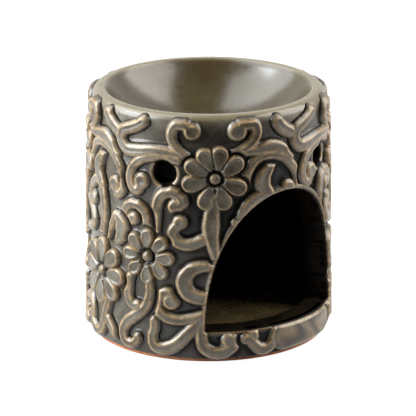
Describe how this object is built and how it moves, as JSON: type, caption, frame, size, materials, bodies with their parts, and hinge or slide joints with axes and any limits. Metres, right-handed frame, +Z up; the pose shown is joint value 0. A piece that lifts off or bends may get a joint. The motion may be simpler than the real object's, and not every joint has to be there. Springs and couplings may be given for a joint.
{
  "type": "wax melt burner",
  "caption": "Drum-shaped glazed ceramic wax melt burner with daisy and scroll relief, an arched tealight window, round air vents and a shallow melt dish on top",
  "frame": {"origin": "Middle of the underside, on the table that the burner stands on", "axes": "+Z is up; -Y points out through the middle of the tealight window; +X is to the right of someone who faces the window"},
  "size_m": [0.0912, 0.0911, 0.0905],
  "materials": {
    "wall_glaze": "satin-gloss grey-olive reactive glaze that breaks tan on edges and pools dark in the recesses",
    "dish_glaze": "satin-gloss olive-brown glaze with fine speckle",
    "chamber_glaze": "satin dark brown glaze",
    "bare_clay": "unglazed fired terracotta-coloured clay"
  },
  "bodies": {
    "root": {"foot_ring": "bare_clay", "chamber_floor": "chamber_glaze", "drum_wall": "wall_glaze", "melt_dish": "dish_glaze", "sill_leaf": "wall_glaze", "left_front_top_daisy": "wall_glaze", "left_front_middle_daisy": "wall_glaze", "left_front_low_daisy": "wall_glaze", "left_front_crown_vine": "wall_glaze", "left_front_arch_vine": "wall_glaze", "left_front_side_vine": "wall_glaze", "left_front_leaf_pair": "wall_glaze", "left_front_left_scroll": "wall_glaze", "left_front_right_scroll": "wall_glaze", "left_front_window_scroll": "wall_glaze", "left_front_foot_vine": "wall_glaze", "right_front_top_daisy": "wall_glaze", "right_front_low_daisy": "wall_glaze", "right_front_crown_vine": "wall_glaze", "right_front_arch_vine": "wall_glaze", "right_front_side_vine": "wall_glaze", "right_front_right_scroll": "wall_glaze", "right_front_window_scroll": "wall_glaze", "right_front_foot_vine": "wall_glaze", "right_back_top_daisy": "wall_glaze", "right_back_middle_daisy": "wall_glaze", "right_back_low_daisy": "wall_glaze", "right_back_crown_vine": "wall_glaze", "right_back_arch_vine": "wall_glaze", "right_back_side_vine": "wall_glaze", "right_back_leaf_pair": "wall_glaze", "right_back_left_scroll": "wall_glaze", "right_back_right_scroll": "wall_glaze", "right_back_window_scroll": "wall_glaze", "right_back_foot_vine": "wall_glaze", "left_back_top_daisy": "wall_glaze", "left_back_middle_daisy": "wall_glaze", "left_back_low_daisy": "wall_glaze", "left_back_crown_vine": "wall_glaze", "left_back_arch_vine": "wall_glaze", "left_back_side_vine": "wall_glaze", "left_back_leaf_pair": "wall_glaze", "left_back_left_scroll": "wall_glaze", "left_back_right_scroll": "wall_glaze", "left_back_window_scroll": "wall_glaze", "left_back_foot_vine": "wall_glaze"}
  },
  "joints": []
}
